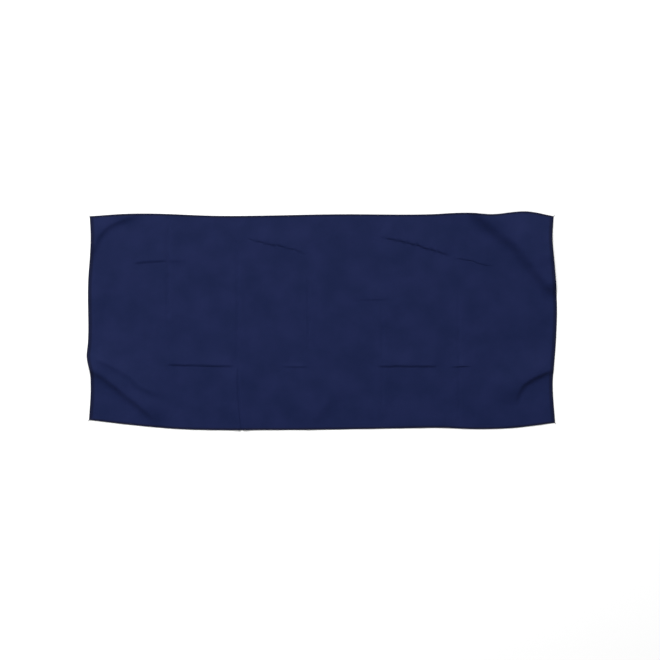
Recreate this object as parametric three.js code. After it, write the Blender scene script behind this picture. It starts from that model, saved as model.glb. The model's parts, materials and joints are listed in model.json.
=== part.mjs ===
import * as THREE from 'three';
import { mergeVertices } from 'three/addons/utils/BufferGeometryUtils.js';

// A microfibre travel towel laid flat with its face up. Millimetres: +X along its length, +Y across
// it, +Z up. The origin is under its middle, on the surface that it lies on. The cloth folds in half
// on its middle packing crease, so it is built as two halves that meet there.

// Driving dimensions
const LENGTH = 1300; // the cloth as cut
const WIDTH = 600;
const CLOTH_THICKNESS = 1.2; // with its nap
const HEM_WIDTH = 4; // the overlocked margin, where the stitches press the cloth thin
const HEM_THICKNESS = 0.6;
const THREAD_THICKNESS = 0.35;
const THREAD_WIDTH = 0.5;
const CLEARANCE = 0.3; // between any two pieces
const FOLD_X = -37; // the middle packing crease
const TAIL_LENGTH = 5; // the chained thread ends left at the corners
const TAIL_DIAMETER = 1.2;
const CELL = 32; // longest step of the surface

const HALF_LENGTH = LENGTH / 2;
const HALF_WIDTH = WIDTH / 2;

// Levels in the hem, from the surface up: lower looper, cloth, upper looper and needle thread.
const HEM_UNDERSIDE = THREAD_THICKNESS + CLEARANCE;
const HEM_TOP = HEM_UNDERSIDE + HEM_THICKNESS;
const UPPER_THREAD = HEM_TOP + CLEARANCE;

// The edges wander a little, because the stitching draws them in. Each list gives, from one end of an
// edge to the other, the place along it and how far out it lies from the middle of the towel.
const FAR_EDGE = [[-650, 290], [-531, 297], [-282, 291], [52, 295.5], [302, 295.5], [412, 299.5],
  [468, 295], [579, 303], [650, 290]];
const NEAR_EDGE = [[-650, 275], [-531, 289], [-420, 299], [-130, 303], [218, 298.5], [329, 297],
  [434, 300.5], [523, 298], [650, 283]];
const LEFT_EDGE = [[-300, 646], [-199, 641.5], [-154, 643.5], [-110, 652], [-66, 649], [112, 648.5],
  [245, 641], [300, 644]];
const RIGHT_EDGE = [[-300, 647], [-188, 640.5], [-66, 649], [50, 652], [156, 645], [245, 639], [300, 643]];

// Low ridges where the cloth stands off the surface: the creases it was packed with, and the soft
// folds that its corners lie in. Each runs between two points, with a height and a reach to each side.
const RIDGES = [
  { from: [-427, -300], to: [-427, 300], height: 2, reach: 40 },
  { from: [-236, -300], to: [-236, 300], height: 2.5, reach: 40 },
  { from: [164, -300], to: [164, 300], height: 2, reach: 40 },
  { from: [377, -300], to: [377, 300], height: 2, reach: 40 },
  { from: [-430, -126], to: [400, -126], height: 2.5, reach: 40 },
  { from: [-207, 224], to: [-52, 182], height: 2, reach: 36 },
  { from: [167, 232], to: [460, 156], height: 2, reach: 36 },
  { from: [410, 290], to: [630, 70], height: 6, reach: 60 },
  { from: [-480, 280], to: [-640, 170], height: 6, reach: 56 },
  { from: [-640, -120], to: [-450, -280], height: 6, reach: 56 },
  { from: [640, -150], to: [530, -220], height: 5, reach: 50 },
];

const clothMaterial = new THREE.MeshStandardMaterial({ color: 0x1f274b, roughness: 0.95, metalness: 0 });
const threadMaterial = new THREE.MeshStandardMaterial({ color: 0x191f3d, roughness: 0.6, metalness: 0 });

const towel = new THREE.Group();

// A smooth curve through a list of [place, value], read at one place.
function along(points, place) {
  const last = points.length - 2;
  let span = 0;
  while (span < last && place > points[span + 1][0]) span += 1;
  const slope = (i) => {
    const before = points[Math.max(i - 1, 0)];
    const after = points[Math.min(i + 1, points.length - 1)];
    return (after[1] - before[1]) / (after[0] - before[0]);
  };
  const [start, end] = [points[span], points[span + 1]];
  const width = end[0] - start[0];
  const t = (place - start[0]) / width;
  return (2 * t ** 3 - 3 * t ** 2 + 1) * start[1] + (t ** 3 - 2 * t ** 2 + t) * width * slope(span)
    + (3 * t ** 2 - 2 * t ** 3) * end[1] + (t ** 3 - t ** 2) * width * slope(span + 1);
}

// How far the cloth stands off the surface at a point.
function lift(x, y) {
  let height = 0;
  for (const ridge of RIDGES) {
    const run = [ridge.to[0] - ridge.from[0], ridge.to[1] - ridge.from[1]];
    const share = ((x - ridge.from[0]) * run[0] + (y - ridge.from[1]) * run[1]) / (run[0] ** 2 + run[1] ** 2);
    const t = THREE.MathUtils.clamp(share, 0, 1);
    const away = Math.hypot(x - ridge.from[0] - t * run[0], y - ridge.from[1] - t * run[1]) / ridge.reach;
    if (away < 1) height = Math.max(height, ridge.height * (1 - away ** 2) ** 2);
  }
  return height;
}

// Where a point of the cut cloth lies, at a level above the cloth's underside. The fold line is straight.
function laid(x, y, level) {
  const toEnd = x < FOLD_X ? (FOLD_X - x) / (FOLD_X + HALF_LENGTH) : (x - FOLD_X) / (HALF_LENGTH - FOLD_X);
  const outward = along(x < FOLD_X ? LEFT_EDGE : RIGHT_EDGE, y) - HALF_LENGTH;
  const acrossEdge = along(y < 0 ? NEAR_EDGE : FAR_EDGE, x) / HALF_WIDTH;
  const point = [x + Math.sign(x - FOLD_X) * toEnd * outward, y * acrossEdge];
  return [point[0], point[1], level + lift(point[0], point[1])];
}

// Stops from start to end, no further apart than CELL.
function stops(start, end) {
  const count = Math.ceil(Math.abs(end - start) / CELL);
  return Array.from({ length: count + 1 }, (_, i) => start + ((end - start) * i) / count);
}

// A closed sheet over a grid of the cut cloth, between an underside and a top given at each point.
function sheet(columns, rows, underside, top) {
  const positions = [];
  const indices = [];
  for (const level of [underside, top]) {
    for (const y of rows) {
      for (const x of columns) positions.push(...laid(x, y, level(x, y)));
    }
  }
  const across = columns.length;
  const layer = across * rows.length;
  const quad = (a, b, c, d) => indices.push(a, b, c, a, c, d);
  for (let r = 0; r < rows.length - 1; r += 1) {
    for (let c = 0; c < across - 1; c += 1) {
      const corner = r * across + c;
      quad(corner, corner + across, corner + across + 1, corner + 1);
      quad(layer + corner, layer + corner + 1, layer + corner + across + 1, layer + corner + across);
    }
  }
  const rim = [
    ...columns.map((_, c) => c),
    ...rows.slice(1).map((_, r) => (r + 2) * across - 1),
    ...columns.slice(1).map((_, c) => layer - 2 - c),
    ...rows.slice(1).map((_, r) => (rows.length - 2 - r) * across),
  ];
  for (let i = 0; i < rim.length - 1; i += 1) {
    quad(rim[i], rim[i + 1], layer + rim[i + 1], layer + rim[i]);
  }
  const geometry = new THREE.BufferGeometry();
  geometry.setAttribute('position', new THREE.Float32BufferAttribute(positions, 3));
  geometry.setIndex(indices);
  return geometry;
}

function add(name, geometry, material) {
  const mesh = new THREE.Mesh(geometry, material);
  mesh.name = name;
  towel.add(mesh);
  return mesh;
}

// The places, counted in from the cut edge, of the hem's inner line and of its threads.
const HEM_STEP = HEM_WIDTH + 2 * CLEARANCE; // where the cloth is back to its full thickness
const LOOPER_INNER = HEM_WIDTH - CLEARANCE;
const NEEDLE_OUTER = HEM_WIDTH + CLEARANCE;
const NEEDLE_INNER = NEEDLE_OUTER + THREAD_WIDTH;
const SIDE_START = NEEDLE_INNER + CLEARANCE; // the long sides' threads stop here, clear of the ends'

const HALVES = [
  { name: 'left', end: -HALF_LENGTH, fold: FOLD_X - CLEARANCE, inward: 1 },
  { name: 'right', end: HALF_LENGTH, fold: FOLD_X + CLEARANCE, inward: -1 },
];
const SIDES = [
  { name: 'far', edge: HALF_WIDTH, inward: -1 },
  { name: 'near', edge: -HALF_WIDTH, inward: 1 },
];
const LAYERS = {
  needle: [NEEDLE_OUTER, NEEDLE_INNER, UPPER_THREAD],
  upper_looper: [0, LOOPER_INNER, UPPER_THREAD],
  lower_looper: [0, LOOPER_INNER, 0],
};

const BODY_ROWS = stops(-HALF_WIDTH + HEM_STEP, HALF_WIDTH - HEM_STEP);
const ROWS = [-HALF_WIDTH, -HALF_WIDTH + HEM_WIDTH, ...BODY_ROWS, HALF_WIDTH - HEM_WIDTH, HALF_WIDTH];

function inHem(x, y) {
  const toEdge = Math.min(HALF_LENGTH - Math.abs(x), HALF_WIDTH - Math.abs(y));
  return toEdge < (HEM_WIDTH + HEM_STEP) / 2;
}

function ascending(values) {
  return [...values].sort((a, b) => a - b);
}

// The cloth: one half on each side of the fold line, pressed thin in the hem.
function addCloth(half) {
  const body = stops(half.end + half.inward * HEM_STEP, half.fold);
  const columns = ascending([half.end, half.end + half.inward * HEM_WIDTH, ...body]);
  const underside = (x, y) => (inHem(x, y) ? HEM_UNDERSIDE : 0);
  const top = (x, y) => (inHem(x, y) ? HEM_TOP : CLOTH_THICKNESS);
  add(`cloth_${half.name}_half`, sheet(columns, ROWS, underside, top), clothMaterial);
}

// One run of thread: a flat strip over or under the hem.
function addThread(name, columns, rows, level) {
  const strip = sheet(ascending(columns), ascending(rows), () => level, () => level + THREAD_THICKNESS);
  add(name, strip, threadMaterial);
}

// The three threads of the overlocking along a short end of the towel.
function addEndThreads(half) {
  for (const [thread, [outer, inner, level]] of Object.entries(LAYERS)) {
    const columns = [half.end + half.inward * outer, half.end + half.inward * inner];
    addThread(`${half.name}_end_${thread}_thread`, columns, ROWS, level);
  }
}

// The three threads along one half of a long side.
function addSideThreads(side, half) {
  const body = stops(half.end + half.inward * HEM_STEP, half.fold).slice(1);
  const columns = [half.end + half.inward * SIDE_START, ...body];
  for (const [thread, [outer, inner, level]] of Object.entries(LAYERS)) {
    const rows = [side.edge + side.inward * outer, side.edge + side.inward * inner];
    addThread(`${side.name}_side_${half.name}_${thread}_thread`, columns, rows, level);
  }
}

// The chained tail that the overlocking leaves at a corner, pointing out of it.
function addTail(side, half) {
  const corner = new THREE.Vector3(...laid(half.end, side.edge, HEM_UNDERSIDE + HEM_THICKNESS / 2));
  const outward = new THREE.Vector3(-half.inward * 0.8, -side.inward * 0.6, 0);
  const root = corner.clone().addScaledVector(outward, CLEARANCE + TAIL_DIAMETER / 2);
  const middle = root.clone().addScaledVector(outward, TAIL_LENGTH / 2);
  const tip = root.clone().addScaledVector(outward, TAIL_LENGTH).add(new THREE.Vector3(0, side.inward * 0.8, 0));
  const path = new THREE.CatmullRomCurve3([root, middle, tip]);
  const section = new THREE.Shape();
  section.absarc(0, 0, TAIL_DIAMETER / 2, 0, 2 * Math.PI);
  const tube = new THREE.ExtrudeGeometry(section, { steps: 6, curveSegments: 4, extrudePath: path });
  tube.deleteAttribute('normal');
  tube.deleteAttribute('uv');
  add(`${side.name}_${half.name}_corner_thread_tail`, mergeVertices(tube), threadMaterial);
}

for (const half of HALVES) {
  addCloth(half);
  addEndThreads(half);
  for (const side of SIDES) {
    addSideThreads(side, half);
    addTail(side, half);
  }
}

export default towel;
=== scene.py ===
"""A dark blue microfibre travel towel, spread face up on a pale floor and seen from straight above."""

import json
import math

import bmesh
import bpy
import numpy as np
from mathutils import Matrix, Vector


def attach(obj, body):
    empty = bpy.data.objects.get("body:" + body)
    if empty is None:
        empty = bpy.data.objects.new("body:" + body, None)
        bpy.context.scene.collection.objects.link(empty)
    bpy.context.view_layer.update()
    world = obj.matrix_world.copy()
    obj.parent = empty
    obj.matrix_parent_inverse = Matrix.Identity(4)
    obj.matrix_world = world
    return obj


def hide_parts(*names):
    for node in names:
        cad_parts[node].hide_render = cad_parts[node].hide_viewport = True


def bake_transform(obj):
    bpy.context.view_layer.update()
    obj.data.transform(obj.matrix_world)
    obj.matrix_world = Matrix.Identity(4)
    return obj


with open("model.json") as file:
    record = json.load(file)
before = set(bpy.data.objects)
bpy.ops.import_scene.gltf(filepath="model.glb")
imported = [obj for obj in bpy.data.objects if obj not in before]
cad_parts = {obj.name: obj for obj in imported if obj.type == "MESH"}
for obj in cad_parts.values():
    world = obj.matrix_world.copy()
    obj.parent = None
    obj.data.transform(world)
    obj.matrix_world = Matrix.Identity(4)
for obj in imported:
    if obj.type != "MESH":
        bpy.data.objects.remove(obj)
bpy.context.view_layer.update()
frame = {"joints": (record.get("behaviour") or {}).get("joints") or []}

MM = 0.001

# Everything in this first part is in millimetres, in the towel's own frame: +X along it, +Y across it.
LENGTH = 1300  # the cloth as cut
WIDTH = 600
CLOTH_THICKNESS = 0.8
HEM_THICKNESS = 0.5  # where the overlocking presses the cloth
HEM_WIDTH = 4
THREAD_RADIUS = 0.17
STITCH = 2.6
HALF_LENGTH = LENGTH / 2
HALF_WIDTH = WIDTH / 2

FOLD = frame["joints"][0]  # the hinge on the middle packing crease
FOLD_X = FOLD["pos_m"][0] / MM
FOLD_REACH = 8  # length of cloth that bends round the fold

# The edges wander a little, because the stitching draws them in. Each list gives, from one end of an
# edge to the other, the place along it and how far out it lies from the middle of the towel.
FAR_EDGE = [(-650, 290), (-531, 297), (-282, 291), (52, 295.5), (302, 295.5), (412, 299.5),
            (468, 295), (579, 303), (650, 290)]
NEAR_EDGE = [(-650, 275), (-531, 289), (-420, 299), (-130, 303), (218, 298.5), (329, 297),
             (434, 300.5), (523, 298), (650, 283)]
LEFT_EDGE = [(-300, 646), (-199, 641.5), (-154, 643.5), (-110, 652), (-66, 649), (112, 648.5),
             (245, 641), (300, 644)]
RIGHT_EDGE = [(-300, 647), (-188, 640.5), (-66, 649), (50, 652), (156, 645), (245, 639), (300, 643)]

# The lines that show in the cloth. Each runs through its points. A line has a ridge (height, reach to
# its left as seen along the line, reach to its right), the share of its length over which it fades in
# and out at each end and, if it is a crease, a groove in the middle of the ridge (depth, reach) and how
# much the depth of that groove comes and goes.
PACKING_CREASES = [
    {"points": [(-425, 330), (-427, 60), (-421, -60)], "ridge": (1.2, 26, 26), "groove": (1.1, 6),
     "fade": 0.25, "comes_and_goes": 0.6},
    {"points": [(-236, 280), (-233, 60), (-234, -200)], "ridge": (1.3, 30, 24), "groove": (1.4, 5),
     "fade": 0.4, "comes_and_goes": 0.6},
    {"points": [(-233, -110), (-232, -171), (-227, -254), (-217, -340)], "ridge": (2.2, 26, 22),
     "groove": (2.4, 3.0), "fade": 0.2, "comes_and_goes": 0.4},
    {"points": [(-40, 150), (-37, 20), (-38, -100)], "ridge": (0.9, 26, 26), "groove": (1.1, 5),
     "fade": 0.3, "comes_and_goes": 0.8},
    {"points": [(165, 90), (168, -120), (164, -330)], "ridge": (1.0, 26, 26), "groove": (0.9, 5),
     "fade": 0.3, "comes_and_goes": 0.6},
    {"points": [(378, 120), (381, -100), (380, -330)], "ridge": (0.9, 24, 24), "groove": (0.9, 5),
     "fade": 0.3, "comes_and_goes": 0.6},
    {"points": [(-434, -122), (-370, -123), (-310, -125), (-240, -127)], "ridge": (2.4, 34, 1.9),
     "groove": (0.8, 1.8), "fade": 0.12, "comes_and_goes": 1.0},
    {"points": [(-120, -126), (-80, -126), (-26, -127)], "ridge": (1.0, 8, 2.4), "fade": 0.4},
    {"points": [(150, -126), (240, -126), (322, -126)], "ridge": (2.5, 34, 1.8), "groove": (0.9, 1.8),
     "fade": 0.1, "comes_and_goes": 1.0},
    {"points": [(352, -126), (387, -126), (420, -125)], "ridge": (1.8, 24, 1.9), "fade": 0.4},
    {"points": [(-524, 159), (-472, 164), (-428, 167)], "ridge": (1.9, 26, 1.9), "groove": (0.8, 1.8),
     "fade": 0.15, "comes_and_goes": 1.0},
    {"points": [(-446, 170), (-400, 169), (-360, 168)], "ridge": (1.3, 22, 7), "fade": 0.4},
    {"points": [(84, 59), (140, 60), (200, 62)], "ridge": (0.8, 24, 2.4), "fade": 0.4},
]
SLANTED_CREASES = [
    {"points": [(-214, 228), (-165, 216), (-115, 206), (-68, 193), (-40, 181)], "ridge": (1.6, 36, 1.2),
     "groove": (1.2, 1.3), "fade": 0.18, "comes_and_goes": 1.5},
    {"points": [(158, 233), (218, 221), (288, 202), (362, 178)], "ridge": (2.7, 46, 1.3),
     "groove": (1.3, 1.3), "fade": 0.15, "comes_and_goes": 1.0},
    {"points": [(360, 175), (412, 166), (440, 157), (480, 153)], "ridge": (1.2, 30, 1.2),
     "groove": (0.9, 1.3), "fade": 0.25, "comes_and_goes": 1.5},
]
DRAPES = [
    # far left corner: a crescent, steep towards the middle and gentle towards the corner
    {"points": [(-490, 303), (-521, 293), (-552, 284), (-583, 270), (-608, 252), (-625, 227), (-637, 200),
                (-645, 172), (-651, 145)], "ridge": (4.6, 10, 50), "fade": 0.3},
    # far right corner: a long soft fold, and the side hem curling down beside it
    {"points": [(398, 334), (428, 304), (462, 275), (501, 244), (545, 211), (582, 162), (622, 112),
                (655, 66)], "ridge": (12, 75, 19), "fade": 0.12},
    {"points": [(638, 304), (636, 230), (640, 150)], "ridge": (3.2, 6, 45), "fade": 0.25},
    # near left corner: two folds side by side
    {"points": [(-650, -94), (-616, -106), (-538, -146), (-499, -180), (-420, -212)],
     "ridge": (4.4, 70, 12), "fade": 0.25},
    {"points": [(-700, -114), (-664, -126), (-632, -138), (-588, -164), (-553, -194), (-495, -240),
                (-440, -292)], "ridge": (8, 46, 12), "fade": 0.24},
    # near right corner: a hooked fold, and a broad shallow one beside it
    {"points": [(662, -128), (640, -134), (618, -141), (602, -148), (584, -157), (565, -169), (549, -184),
                (539, -207), (530, -240)], "ridge": (7.5, 9.5, 50), "fade": 0.3},
    {"points": [(440, -150), (500, -184), (560, -196)], "ridge": (1.2, 150, 40), "fade": 0.4},
    # near side, middle: a slanted fold
    {"points": [(70, -160), (46, -182), (26, -208), (-23, -269), (-50, -310)], "ridge": (3, 20, 90),
     "fade": 0.3},
    # left end: a low ridge along it
    {"points": [(-612, 140), (-618, 0), (-606, -130)], "ridge": (2.2, 16, 36), "fade": 0.3},
]
LINES = PACKING_CREASES + SLANTED_CREASES + DRAPES

# Slow swells and small wrinkles: size across, height, seed
SWELLS = [(210, 1.6, 3), (95, 1.2, 8)]
WRINKLES = [(46, 0.5, 13), (17, 0.1, 21)]
WRINKLE_MEAN = 0.6  # how far their middle stands up, as a share of their height
FLOOR_SOFTNESS = 0.5  # how gently the cloth's swells come down on the floor
CREASE_SOFTNESS = 0.12  # and its creases
SETTLE = 1.0  # how much of the swell the floor takes away
CORNER_REACH = 75  # the corners lie down on the floor from this far
UNDER_HEM = 0.2  # the threads under the hem hold the cloth this far off the floor
WANDER = 0.9  # how far a line strays to either side of its path
WANDER_HILLS = (34, 6)  # size across and seed of the hills that make it stray
UNEVEN = 0.15  # share by which its height varies along and across it
UNEVEN_HILLS = (60, 5)
GROOVE_HILLS = (19, 4)
PATH_STEPS = 12  # from one point of a line to the next
HILL_TABLE = 61  # the hills repeat after this many
HILL_HEIGHT = 1.5  # brings their height to about 1
SLOPE_STEP = 0.5  # over which the slope of the cloth is measured


def curve(points, places):
    """A smooth curve through a list of (place, value), read at an array of places."""
    at, value = np.array(points, float).T
    slope = np.gradient(value, at)
    i = np.clip(np.searchsorted(at, places) - 1, 0, len(at) - 2)
    width = at[i + 1] - at[i]
    t = np.clip((places - at[i]) / width, 0, 1)
    return (
        (2 * t**3 - 3 * t**2 + 1) * value[i]
        + (t**3 - 2 * t**2 + t) * width * slope[i]
        + (3 * t**2 - 2 * t**3) * value[i + 1]
        + (t**3 - t**2) * width * slope[i + 1]
    )


def smooth(t):
    """Goes from 0 to 1 with level ends, as t does."""
    t = np.clip(t, 0, 1)
    return t * t * (3 - 2 * t)


def hills(x, y, size, seed):
    """Smooth random hills and hollows of about that size, from -1 to 1."""
    angle = np.random.default_rng(seed).uniform(0, 2 * np.pi, (HILL_TABLE, HILL_TABLE))
    u, v = x / size + HILL_TABLE / 2, y / size + HILL_TABLE / 2
    i, j = np.floor(u).astype(int), np.floor(v).astype(int)
    f, g = u - i, v - j

    def corner(a, b):
        turn = angle[(i + a) % HILL_TABLE, (j + b) % HILL_TABLE]
        return np.cos(turn) * (f - a) + np.sin(turn) * (g - b)

    sf, sg = f**3 * (f * (6 * f - 15) + 10), g**3 * (g * (6 * g - 15) + 10)
    near = corner(0, 0) * (1 - sf) + corner(1, 0) * sf
    far = corner(0, 1) * (1 - sf) + corner(1, 1) * sf
    return HILL_HEIGHT * (near * (1 - sg) + far * sg)


def smooth_path(points):
    """A dense smooth line through a few points."""
    points = np.array(points, float)
    steps = np.arange(len(points))
    dense = np.linspace(0, len(points) - 1, PATH_STEPS * (len(points) - 1) + 1)
    return np.stack([curve(list(zip(steps, points[:, k])), dense) for k in (0, 1)], 1)


def beside(path, x, y):
    """For each point, its signed distance to the left of a path and the share of the path passed."""
    passed = np.concatenate([[0], np.cumsum(np.hypot(*np.diff(path, axis=0).T))])
    best = np.full(x.shape, np.inf)
    signed, share = np.zeros(x.shape), np.zeros(x.shape)
    for k, (a, b) in enumerate(zip(path[:-1], path[1:])):
        run = b - a
        length = np.hypot(*run)
        t = np.clip(((x - a[0]) * run[0] + (y - a[1]) * run[1]) / length**2, 0, 1)
        dx, dy = x - a[0] - t * run[0], y - a[1] - t * run[1]
        away = np.hypot(dx, dy)
        closer = away < best
        best = np.where(closer, away, best)
        signed = np.where(closer, np.copysign(away, run[0] * dy - run[1] * dx), signed)
        share = np.where(closer, (passed[k] + t * length) / passed[-1], share)
    return signed, share


for line in LINES:
    line["path"] = smooth_path(line["points"])


def line_height(line, x, y):
    """How far one line lifts the cloth at places close to it."""
    away, share = beside(line["path"], x, y)
    away = away + WANDER * hills(x, y, *WANDER_HILLS)
    ridge, reach_left, reach_right = line["ridge"]
    reach = np.where(away > 0, reach_left, reach_right)
    shape = ridge * np.exp(-((away / reach) ** 2))
    if "groove" in line:
        groove, groove_reach = line["groove"]
        depth = groove * (1 + line["comes_and_goes"] * hills(x, y, *GROOVE_HILLS))
        shape = shape - depth * np.exp(-((away / groove_reach) ** 2))
    fade = line["fade"]
    uneven = 1 + UNEVEN * hills(x, y, *UNEVEN_HILLS)
    return shape * uneven * smooth(share / fade) * smooth((1 - share) / fade)


def all_line_heights(x, y):
    """How far all the lines together lift the cloth."""
    height = np.zeros(x.shape)
    for line in LINES:
        margin = 3 * max(line["ridge"][1:])
        low, high = line["path"].min(0) - margin, line["path"].max(0) + margin
        near = (x > low[0]) & (x < high[0]) & (y > low[1]) & (y < high[1])
        height[near] += line_height(line, x[near], y[near])
    return height


def rest_on_floor(height, softness):
    """Brings what would lie below the floor gently up to it."""
    return softness * np.logaddexp(0, height / softness)


def lift(x, y):
    """How far the cloth's underside stands off the floor at an array of laid places."""
    swell = sum(size * hills(x, y, across, seed) for across, size, seed in SWELLS)
    height = rest_on_floor(swell - SETTLE, FLOOR_SOFTNESS)
    to_corner = np.hypot(HALF_LENGTH - np.abs(x), HALF_WIDTH - np.abs(y))
    corner_drop = smooth(to_corner / CORNER_REACH)
    height = height + corner_drop * all_line_heights(x, y)
    for across, size, seed in WRINKLES:
        height = height + size * (WRINKLE_MEAN + hills(x, y, across, seed))
    return UNDER_HEM + rest_on_floor(height, CREASE_SOFTNESS)


def laid(x, y):
    """Where points of the cut cloth lie in plan. The fold line stays straight."""
    to_left = (FOLD_X - x) / (FOLD_X + HALF_LENGTH)
    to_right = (x - FOLD_X) / (HALF_LENGTH - FOLD_X)
    to_end = np.where(x < FOLD_X, to_left, to_right)
    outward = np.where(x < FOLD_X, curve(LEFT_EDGE, y), curve(RIGHT_EDGE, y)) - HALF_LENGTH
    across = np.where(y < 0, curve(NEAR_EDGE, x), curve(FAR_EDGE, x)) / HALF_WIDTH
    return x + np.sign(x - FOLD_X) * to_end * outward, y * across


def on_cloth(x, y, offset):
    """Points at an offset above the middle of the cloth's thickness, at places on the cut cloth."""
    px, py = laid(x, y)
    z = lift(px, py)
    slope_x = (lift(px + SLOPE_STEP, py) - z) / SLOPE_STEP
    slope_y = (lift(px, py + SLOPE_STEP) - z) / SLOPE_STEP
    normal = np.stack([-slope_x, -slope_y, np.ones_like(z)], -1)
    normal /= np.linalg.norm(normal, axis=-1, keepdims=True)
    return np.stack([px, py, z + CLOTH_THICKNESS / 2], -1) + normal * np.asarray(offset)[..., None]


# Meshes


def make_mesh(name, vertices, faces, material, uv):
    """A mesh object from points in millimetres; uv gives each point its place on the cloth or thread."""
    mesh = bpy.data.meshes.new(name)
    mesh.from_pydata((np.asarray(vertices) * MM).tolist(), [], faces)
    layer = mesh.uv_layers.new(name="place")
    corners = np.zeros(len(mesh.loops), int)
    mesh.loops.foreach_get("vertex_index", corners)
    layer.data.foreach_set("uv", uv[corners].ravel().astype(np.float32))
    mesh.polygons.foreach_set("use_smooth", [True] * len(mesh.polygons))
    mesh.materials.append(material)
    mesh.update()
    piece = bpy.data.objects.new(name, mesh)
    bpy.context.scene.collection.objects.link(piece)
    return piece


def stops(half, step, close_places):
    """Places from -half to half, a step apart, and closer together near (place, step, reach)."""
    fine = np.linspace(-half, half, round(2 * half * FINE_STOPS) + 1)
    density = np.full(fine.shape, 1 / step)
    for place, close_step, reach in close_places:
        density += (1 / close_step - 1 / step) * np.exp(-(((fine - place) / reach) ** 2))
    passed = np.concatenate([[0], np.cumsum((density[1:] + density[:-1]) / 2 * np.diff(fine))])
    return np.interp(np.linspace(0, passed[-1], math.ceil(passed[-1]) + 1), passed, fine)


FINE_STOPS = 10  # places tried in every millimetre
GRID_STEP = 6.5
# Where the grid is closer: at a column or row, the step there and how far to either side it reaches
CLOSE_COLUMNS = [(x, 1.5, 8) for x in (-425, -230, 166, 379)] + [(FOLD_X - FOLD_REACH / 2, 0.4, 7)]
CLOSE_ROWS = [(-124, 0.8, 8), (163, 1.0, 8), (60, 1.6, 6)]
HEM_STEP = 1.3
HEM_STEP_REACH = 5
SHARP_DRAPES = [line for line in DRAPES if min(line["ridge"][1:]) < 15]
# Lines along which its faces are divided: the lines, how far to either side, cuts in each edge
DIVIDED = [(SLANTED_CREASES, 10.5, 1), (SLANTED_CREASES, 6.5, 3), (SHARP_DRAPES, 16, 1)]
PRESSED_SLOPE = 1.5  # width over which the cloth goes from its hem's thickness to its own


def close_at_hems(half):
    """The grid is closer in both hems."""
    return [(side * half, HEM_STEP, HEM_STEP_REACH) for side in (-1, 1)]


def cloth_grid():
    """The cut cloth as a flat mesh, finer at the hem, along the creases and round the fold."""
    columns = stops(HALF_LENGTH, GRID_STEP, close_at_hems(HALF_LENGTH) + CLOSE_COLUMNS)
    rows = stops(HALF_WIDTH, GRID_STEP, close_at_hems(HALF_WIDTH) + CLOSE_ROWS)
    grid = bmesh.new()
    points = [[grid.verts.new((x, y, 0)) for x in columns] for y in rows]
    for low, high in zip(points[:-1], points[1:]):
        for c in range(len(columns) - 1):
            grid.faces.new((low[c], low[c + 1], high[c + 1], high[c]))
    for lines, reach, cuts in DIVIDED:
        divide(grid, lines, reach, cuts)
    return grid


def divide(grid, lines, reach, cuts):
    """Divides the faces within reach of any of the lines."""
    grid.verts.ensure_lookup_table()
    places = np.array([v.co[:2] for v in grid.verts])
    px, py = laid(places[:, 0], places[:, 1])
    close = np.zeros(len(places), bool)
    for line in lines:
        close |= np.abs(beside(line["path"], px, py)[0]) < reach
    edges = [e for e in grid.edges if all(close[v.index] for v in e.verts)]
    bmesh.ops.subdivide_edges(grid, edges=edges, cuts=cuts, use_grid_fill=True)
    bmesh.ops.triangulate(grid, faces=[f for f in grid.faces if len(f.verts) > 4])
    grid.verts.index_update()


def make_cloth(material):
    """The cloth panel: one sheet with its two faces and its cut edge, thinner in the hem."""
    grid = cloth_grid()
    cut = np.array([v.co[:2] for v in grid.verts])
    faces = [[v.index for v in f.verts] for f in grid.faces]
    grid.free()
    x, y = cut.T
    middle = on_cloth(x, y, np.zeros(len(x)))
    to_edge = np.minimum(HALF_LENGTH - np.abs(x), HALF_WIDTH - np.abs(y))
    share = HEM_THICKNESS / CLOTH_THICKNESS
    thickness = share + (1 - share) * smooth((to_edge - HEM_WIDTH) / PRESSED_SLOPE)
    piece = make_mesh("cloth_panel", middle, faces, material, cut * MM)
    group = piece.vertex_groups.new(name="thickness")
    for index, weight in enumerate(thickness):
        group.add([index], float(weight), "REPLACE")
    solid = piece.modifiers.new("thickness", "SOLIDIFY")
    solid.thickness = CLOTH_THICKNESS * MM
    solid.offset = 0
    solid.vertex_group = group.name
    apply_modifiers(piece)
    piece.vertex_groups.clear()
    return piece


def apply_modifiers(piece):
    """Turns what the modifiers make of a piece into its own mesh."""
    graph = bpy.context.evaluated_depsgraph_get()
    shaped = bpy.data.meshes.new_from_object(piece.evaluated_get(graph))
    piece.modifiers.clear()
    piece.data = shaped


def tube(path, radius, sides, up):
    """Vertices, faces and (along, round) places of a closed tube along a path, with given up vectors."""
    ahead = np.gradient(path, axis=0)
    ahead /= np.linalg.norm(ahead, axis=1, keepdims=True)
    across = np.cross(ahead, up)
    across /= np.linalg.norm(across, axis=1, keepdims=True)
    over = np.cross(across, ahead)
    turn = np.linspace(0, 2 * np.pi, sides, endpoint=False)
    radius = np.broadcast_to(radius, len(path))[:, None, None]
    rings = path[:, None] + radius * (
        np.cos(turn)[None, :, None] * across[:, None] + np.sin(turn)[None, :, None] * over[:, None]
    )
    ring, side = np.meshgrid(np.arange(len(path) - 1), np.arange(sides), indexing="ij")
    here, after = ring * sides + side, ring * sides + (side + 1) % sides
    quads = np.stack([here, after, after + sides, here + sides], -1).reshape(-1, 4)
    start = list(range(sides))[::-1]
    end = [(len(path) - 1) * sides + k for k in range(sides)]
    passed = np.concatenate([[0], np.cumsum(np.linalg.norm(np.diff(path, axis=0), axis=1))])
    uv = np.stack([np.repeat(passed * MM, sides), np.tile(turn / (2 * np.pi), len(path))], 1)
    return rings.reshape(-1, 3), quads.tolist() + [start, end], uv


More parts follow.
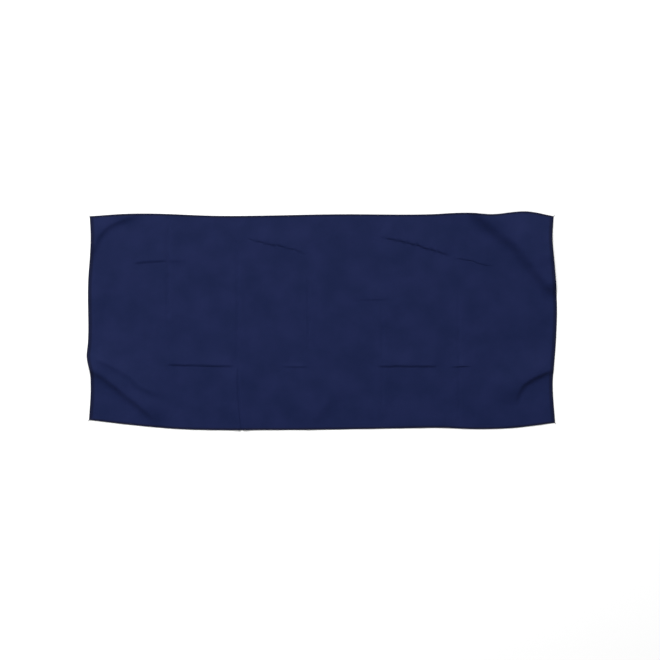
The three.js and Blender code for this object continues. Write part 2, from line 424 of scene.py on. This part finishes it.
def join(tubes):
    """One set of vertices, faces and places from several tubes."""
    vertices, faces, places, count = [], [], [], 0
    for tube_vertices, tube_faces, tube_places in tubes:
        vertices.append(tube_vertices)
        places.append(tube_places)
        faces += [[index + count for index in face] for face in tube_faces]
        count += len(tube_vertices)
    return np.concatenate(vertices), faces, np.concatenate(places)


SIDE_HALF = HALF_LENGTH - HEM_WIDTH - 1.2  # the stitching of the sides stops short of that of the ends
# The overlocked edges: half the length of the stitching, and how its (along, inset) become a place on
# the cut cloth. Each runs with the cloth on its left.
EDGES = {
    "left_end": (HALF_WIDTH, lambda along, inset: (-HALF_LENGTH + inset, -along)),
    "right_end": (HALF_WIDTH, lambda along, inset: (HALF_LENGTH - inset, along)),
    "far_side": (SIDE_HALF, lambda along, inset: (-along, HALF_WIDTH - inset)),
    "near_side": (SIDE_HALF, lambda along, inset: (along, -HALF_WIDTH + inset)),
}
HEM_FACE = HEM_THICKNESS / 2 + THREAD_RADIUS  # offset of a thread that lies on the hem
OUTER_INSET = -0.28  # a looper thread's turns outside the cut edge
INNER_INSET = 3.9  # and at the needle thread
TURN_INSET = 0.75  # where it starts to come round the edge
TURN_WIDTH = 0.9
NEEDLE_INSET = 4.2
NEEDLE_SUNK = -0.1  # its offset where it goes down into the cloth
NEEDLE_RISE = HEM_FACE + 0.14
NEEDLE_FLATNESS = 0.6  # below 1, a stitch is flatter on top than a sine
POINTS_PER_STITCH = 10
THREAD_SIDES = 5


def zigzag(phase):
    """A wave from -1 to 1 with straight runs and round turns."""
    return (np.cos(phase) + np.cos(3 * phase) / 9) / (1 + 1 / 9)


def looper_path(phase, face):
    """Inset and offset of a looper thread: across the hem on one face, round the cut edge and back."""
    swing = zigzag(phase)
    inset = (OUTER_INSET + INNER_INSET) / 2 + (INNER_INSET - OUTER_INSET) / 2 * swing
    at_edge = smooth((TURN_INSET - inset) / TURN_WIDTH)
    return inset, face * HEM_FACE * (1 - at_edge)


def needle_path(phase):
    """Inset and offset of the needle thread: short stitches on the face, down into the cloth between."""
    raised = np.abs(np.sin(phase / 2)) ** NEEDLE_FLATNESS
    return np.full(phase.shape, NEEDLE_INSET), NEEDLE_SUNK + NEEDLE_RISE * raised


# Each thread's path, and the phase by which its stitches are shifted along the edge
THREADS = {
    "needle": (needle_path, 0),
    "upper_looper": (lambda phase: looper_path(phase, 1), 0),
    "lower_looper": (lambda phase: looper_path(phase, -1), math.pi),
}


def make_edge_thread(edge, thread, material):
    """One thread of an overlocked edge, stitch by stitch."""
    half, place = EDGES[edge]
    path_of, shift = THREADS[thread]
    stitches = round(2 * half / STITCH)
    turns = np.linspace(0, stitches, stitches * POINTS_PER_STITCH + 1)
    along = -half + turns * 2 * half / stitches
    inset, offset = path_of(2 * np.pi * turns + shift)
    path = on_cloth(*place(along, inset), offset)
    up = np.tile([0.0, 0.0, 1.0], (len(path), 1))
    vertices, faces, uv = tube(path, THREAD_RADIUS, THREAD_SIDES, up)
    return make_mesh(f"{edge}_{thread}_stitches", vertices, faces, material, uv)


TAIL_LENGTH = 5.5
TAIL_START = 1.2  # how far inside the corner it begins
TAIL_HEADING = (0.8, 0.6)  # outwards along the towel and across it
TAIL_CURL = 1.2  # how far its end strays to the side
TAIL_DROP = 0.3
TAIL_LOWEST = 0.75  # the middle of the chain stays this far off the floor
TAIL_TWIST = 0.36  # radius of the twisted chain's strands about its middle
TAIL_FLARE = 0.9  # share by which they spread at its end
FLARE_START = 0.75  # share of the chain before they do
TAIL_TURNS = 2.2
TAIL_POINTS = 40
TAIL_SIDES = 6
TAIL_UP = [0.1, 0.2, 1.0]  # near enough upright, and never along a strand
STRANDS = 3
STRAND_STEP = 3  # points by which each strand is shorter than the one before


def make_tail(side, end, material):
    """The chain of twisted threads that the overlocking leaves at a corner."""
    out_x = -1 if end == "left" else 1
    out_y = 1 if side == "far" else -1
    corner = on_cloth(np.array([out_x * HALF_LENGTH]), np.array([out_y * HALF_WIDTH]), np.zeros(1))[0]
    t = np.linspace(0, 1, TAIL_POINTS)
    outward = np.array([TAIL_HEADING[0] * out_x, TAIL_HEADING[1] * out_y, 0])
    sideways = np.array([-outward[1], outward[0], 0])
    middle = corner + np.outer(t * TAIL_LENGTH - TAIL_START, outward)
    middle = middle + np.outer(TAIL_CURL * out_x * out_y * t**2, sideways)
    middle[:, 2] = np.maximum(middle[:, 2] - TAIL_DROP * t, TAIL_LOWEST)
    tubes = []
    for strand in range(STRANDS):
        turn = 2 * np.pi * (TAIL_TURNS * t + strand / STRANDS)
        wide = TAIL_TWIST * (1 + TAIL_FLARE * smooth((t - FLARE_START) / (1 - FLARE_START)))
        path = middle + np.outer(wide * np.cos(turn), sideways)
        path[:, 2] += wide * np.sin(turn)
        path = path[: TAIL_POINTS - STRAND_STEP * strand]
        tubes.append(tube(path, THREAD_RADIUS, TAIL_SIDES, np.tile(TAIL_UP, (len(path), 1))))
    vertices, faces, uv = join(tubes)
    return make_mesh(f"{side}_{end}_corner_chain_tail", vertices, faces, material, uv)


# Materials

PRESSED_NAP_AND_EDGE_SHADE = (0.45, 0.5, 0.6)  # darker towards the edges: partly the nap flattened under the stitches, partly painted shade along the edges
END_PAINTED_SHADE_REACH = 13  # how far past the stitches the painted shade reaches at the ends
SIDE_PAINTED_SHADE_REACH = 4.5  # and along the sides
SHADE_DARKEST_INTO_HEM = 0.5  # how far out into the hem it reaches its darkest
WALE_SPACING = 0.0008  # of the knit, in metres
COURSE_SPACING = 0.0011
KNIT_DISTORTION = 1.2
# Colours at the low and high end of each pattern
PATCHES = ((0.0036, 0.0110, 0.0630), (0.0071, 0.0145, 0.0750))
NAP_TINTS = ((0.78, 0.78, 0.8), (1, 1, 1))
LOOP_TINTS = ((0.72, 0.72, 0.76), (1.12, 1.12, 1.1))
PLIES = ((0.002, 0.003, 0.018), (0.006, 0.009, 0.04))
# Features in a metre
PATCH_SCALE = 14
NAP_SCALE = 420
RUMPLE_SCALE = 70
HAIR_SCALES = (3000, 900)  # across the hairs and along them
TWIST_SCALE = 1400  # sets how tightly the plies of the thread are twisted
PLY_DISTORTION = 0.4
# The height in metres and the strength of each relief
RUMPLES = (0.0008, 0.35)
KNIT_RELIEF = (0.00025, 0.6)
HAIR_RELIEF = (0.0002, 0.6)
PLY_RELIEF = (0.0001, 0.5)


def new_material(name):
    """A material made of nodes, with its nodes and links."""
    material = bpy.data.materials.new(name)
    material.use_nodes = True
    return material, material.node_tree.nodes, material.node_tree.links


def noise_node(nodes, links, source, scale, detail=2.0):
    """A noise texture on the given place, with about that many features to each unit of it."""
    node = nodes.new("ShaderNodeTexNoise")
    node.noise_dimensions = "2D"
    node.inputs["Scale"].default_value = scale
    node.inputs["Detail"].default_value = detail
    links.new(source, node.inputs["Vector"])
    return node.outputs["Fac"]


def ramp_node(nodes, links, source, low, high):
    """A colour that goes from low to high over the middle of a noise's range."""
    node = nodes.new("ShaderNodeValToRGB")
    node.color_ramp.elements[0].position = 0.3
    node.color_ramp.elements[1].position = 0.7
    node.color_ramp.elements[0].color = (*low, 1)
    node.color_ramp.elements[1].color = (*high, 1)
    links.new(source, node.inputs["Fac"])
    return node.outputs["Color"]


def multiply_colours(nodes, links, first, second):
    """The product of two colours."""
    node = nodes.new("ShaderNodeMix")
    node.data_type = "RGBA"
    node.blend_type = "MULTIPLY"
    node.inputs["Factor"].default_value = 1.0
    links.new(first, node.inputs["A"])
    links.new(second, node.inputs["B"])
    return node.outputs["Result"]


def bump_node(nodes, links, height, distance, strength, normal=None):
    """A normal bumped by a height pattern, over another bump if one is given; the distance is in metres."""
    node = nodes.new("ShaderNodeBump")
    node.inputs["Distance"].default_value = distance
    node.inputs["Strength"].default_value = strength
    links.new(height, node.inputs["Height"])
    if normal is not None:
        links.new(normal, node.inputs["Normal"])
    return node.outputs["Normal"]


def maths_node(nodes, links, operation, *sources):
    """One step of arithmetic on numbers."""
    node = nodes.new("ShaderNodeMath")
    node.operation = operation
    for source, socket in zip(sources, node.inputs):
        links.new(source, socket)
    return node.outputs["Value"]


def edge_shade_mask(nodes, links, place):
    """1 in the hem, falling to 0 within a few millimetres of open cloth: where the colour darkens for the
    flattened nap and for painted shade along the edges.
    """
    parts = nodes.new("ShaderNodeSeparateXYZ")
    links.new(place, parts.inputs["Vector"])
    sides = []
    for axis, half, reach in (("X", HALF_LENGTH, END_PAINTED_SHADE_REACH), ("Y", HALF_WIDTH, SIDE_PAINTED_SHADE_REACH)):
        near_edge = nodes.new("ShaderNodeMapRange")
        near_edge.interpolation_type = "SMOOTHSTEP"
        near_edge.inputs["From Min"].default_value = (half - HEM_WIDTH - reach) * MM
        near_edge.inputs["From Max"].default_value = (half - HEM_WIDTH + SHADE_DARKEST_INTO_HEM) * MM
        links.new(maths_node(nodes, links, "ABSOLUTE", parts.outputs[axis]), near_edge.inputs["Value"])
        sides.append(near_edge.outputs["Result"])
    return maths_node(nodes, links, "MAXIMUM", *sides)


def wave_scale(spacing):
    """The wave texture's scale for ridges that far apart across X or Y."""
    return math.pi / 10 / spacing


def wave_node(nodes, links, source, direction, scale, distortion):
    """Ridges across the given direction of a place."""
    node = nodes.new("ShaderNodeTexWave")
    node.bands_direction = direction
    node.inputs["Scale"].default_value = scale
    node.inputs["Distortion"].default_value = distortion
    links.new(source, node.inputs["Vector"])
    return node.outputs["Fac"]


def stretched(nodes, links, place, across, along):
    """The place drawn out, so that what is painted on it gets longer one way than the other."""
    node = nodes.new("ShaderNodeVectorMath")
    node.operation = "MULTIPLY"
    node.inputs[1].default_value = (across, along, 0)
    links.new(place, node.inputs[0])
    return node.outputs["Vector"]


def cloth_material():
    """Navy microfibre: a short nap, brushed one way, that lies in soft patches over a fine knit."""
    material, nodes, links = new_material("navy_microfibre")
    shader = nodes["Principled BSDF"]
    place = nodes.new("ShaderNodeUVMap")
    place.uv_map = "place"
    place = place.outputs["UV"]
    patches = ramp_node(nodes, links, noise_node(nodes, links, place, PATCH_SCALE, 3), *PATCHES)
    nap = ramp_node(nodes, links, noise_node(nodes, links, place, NAP_SCALE, 3), *NAP_TINTS)
    colour = multiply_colours(nodes, links, patches, nap)
    wales = wave_node(nodes, links, place, "X", wave_scale(WALE_SPACING), KNIT_DISTORTION)
    courses = wave_node(nodes, links, place, "Y", wave_scale(COURSE_SPACING), KNIT_DISTORTION)
    knit = maths_node(nodes, links, "MULTIPLY", wales, courses)
    loops = ramp_node(nodes, links, knit, *LOOP_TINTS)
    colour = multiply_colours(nodes, links, colour, loops)
    # Darker towards the edges: partly the nap flattened under the stitches, partly painted shade along the
    # edges, reaching furthest in at the ends.
    hem = edge_shade_mask(nodes, links, place)
    nap_and_edge_shade = ramp_node(nodes, links, hem, (1, 1, 1), PRESSED_NAP_AND_EDGE_SHADE)
    links.new(multiply_colours(nodes, links, colour, nap_and_edge_shade), shader.inputs["Base Color"])
    shader.inputs["Roughness"].default_value = 0.72
    shader.inputs["Specular IOR Level"].default_value = 0.14
    shader.inputs["Sheen Weight"].default_value = 0.04
    shader.inputs["Sheen Roughness"].default_value = 0.4
    shader.inputs["Sheen Tint"].default_value = (0.45, 0.5, 0.8, 1)
    rumpled = bump_node(nodes, links, noise_node(nodes, links, place, RUMPLE_SCALE, 2), *RUMPLES)
    knitted = bump_node(nodes, links, knit, *KNIT_RELIEF, rumpled)
    hairs = noise_node(nodes, links, stretched(nodes, links, place, *HAIR_SCALES), 1, 2)
    brushed = bump_node(nodes, links, hairs, *HAIR_RELIEF, knitted)
    links.new(brushed, shader.inputs["Normal"])
    return material


def thread_material():
    """Navy polyester thread: two plies twisted together, with a slight lustre."""
    material, nodes, links = new_material("navy_thread")
    shader = nodes["Principled BSDF"]
    place = nodes.new("ShaderNodeUVMap")
    place.uv_map = "place"
    twist = stretched(nodes, links, place.outputs["UV"], TWIST_SCALE, 1)
    plies = wave_node(nodes, links, twist, "DIAGONAL", 1, PLY_DISTORTION)
    links.new(ramp_node(nodes, links, plies, *PLIES), shader.inputs["Base Color"])
    links.new(bump_node(nodes, links, plies, *PLY_RELIEF), shader.inputs["Normal"])
    shader.inputs["Roughness"].default_value = 0.5
    shader.inputs["Specular IOR Level"].default_value = 0.3
    return material


# The stage: camera, floor, light

CAMERA_AIM = Vector((0.0225, -0.0256, 0))
VIEW_WIDTH = 1.8315  # metres of floor across the picture
LENS = 85  # millimetres, as is the sensor's width
SENSOR = 36
FLOOR_REACH = 30  # metres from its middle to its edges
FLOOR_COLOUR = (0.95, 0.95, 0.95, 1)
KEY_LIGHT = {"location": (-1.1, 8.6, 6.4), "size": 3.1, "brightness": 1.29}
SIDE_LIGHT = {"location": (-2.4, 0.3, 1.8), "size": 1.2, "brightness": 0.22}
STUDIO_BRIGHTNESS = 0.38


def make_camera():
    """Straight above, at the distance from which the view is as wide as it should be."""
    data = bpy.data.cameras.new("camera")
    data.lens = LENS
    data.sensor_width = SENSOR
    camera = bpy.data.objects.new("camera", data)
    camera.location = CAMERA_AIM + Vector((0, 0, VIEW_WIDTH * LENS / SENSOR))
    bpy.context.scene.collection.objects.link(camera)
    bpy.context.scene.camera = camera


def make_floor():
    """The pale floor that the towel is spread on."""
    mesh = bpy.data.meshes.new("floor")
    corners = [(FLOOR_REACH * x, FLOOR_REACH * y, 0) for x, y in ((-1, -1), (1, -1), (1, 1), (-1, 1))]
    mesh.from_pydata(corners, [], [(0, 1, 2, 3)])
    material, nodes, links = new_material("pale_floor")
    shader = nodes["Principled BSDF"]
    shader.inputs["Base Color"].default_value = FLOOR_COLOUR
    shader.inputs["Roughness"].default_value = 0.9
    shader.inputs["Specular IOR Level"].default_value = 0.1
    mesh.materials.append(material)
    floor = bpy.data.objects.new("floor", mesh)
    bpy.context.scene.collection.objects.link(floor)


def make_light(name, location, size, brightness):
    """A square softbox aimed at the towel. Its brightness is about what it gives a white card facing it."""
    data = bpy.data.lights.new(name, "AREA")
    data.shape = "SQUARE"
    data.size = size
    data.energy = brightness * (math.pi * Vector(location).length) ** 2
    light = bpy.data.objects.new(name, data)
    light.location = location
    light.rotation_euler = (-Vector(location)).to_track_quat("-Z", "Y").to_euler()
    bpy.context.scene.collection.objects.link(light)


def make_stage():
    """The camera, the floor, two softboxes and the light of the room."""
    make_camera()
    make_floor()
    make_light("key", **KEY_LIGHT)
    make_light("side", **SIDE_LIGHT)
    world = bpy.data.worlds.new("studio")
    world.use_nodes = True
    background = world.node_tree.nodes["Background"]
    background.inputs["Color"].default_value = (1, 1, 1, 1)
    background.inputs["Strength"].default_value = STUDIO_BRIGHTNESS
    bpy.context.scene.world = world
    bpy.context.scene.view_settings.view_transform = "Standard"


# Putting it together


def bend_at_fold(piece):
    """The piece runs across the fold; its placement is baked into its mesh, and it is not bent here."""
    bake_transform(piece)


def build_towel():
    """Every piece of the towel. The end stitches and corner tails ride the half they lie on; the cloth and
    side stitches are left unattached. The model's parts that the pieces stand for are hidden.
    """
    cloth_surface, thread_surface = cloth_material(), thread_material()
    cloth = make_cloth(cloth_surface)
    bend_at_fold(cloth)
    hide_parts("cloth_left_half", "cloth_right_half")
    for edge in EDGES:
        for thread in THREADS:
            piece = make_edge_thread(edge, thread, thread_surface)
            if edge.endswith("side"):
                bend_at_fold(piece)
                nodes = [f"{edge}_{end}_{thread}_thread" for end in ("left", "right")]
            else:
                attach(piece, edge.replace("end", "half"))
                nodes = [f"{edge}_{thread}_thread"]
            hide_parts(*nodes)
    for side in ("far", "near"):
        for end in ("left", "right"):
            piece = make_tail(side, end, thread_surface)
            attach(piece, f"{end}_half")
            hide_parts(f"{side}_{end}_corner_thread_tail")


make_stage()
build_towel()
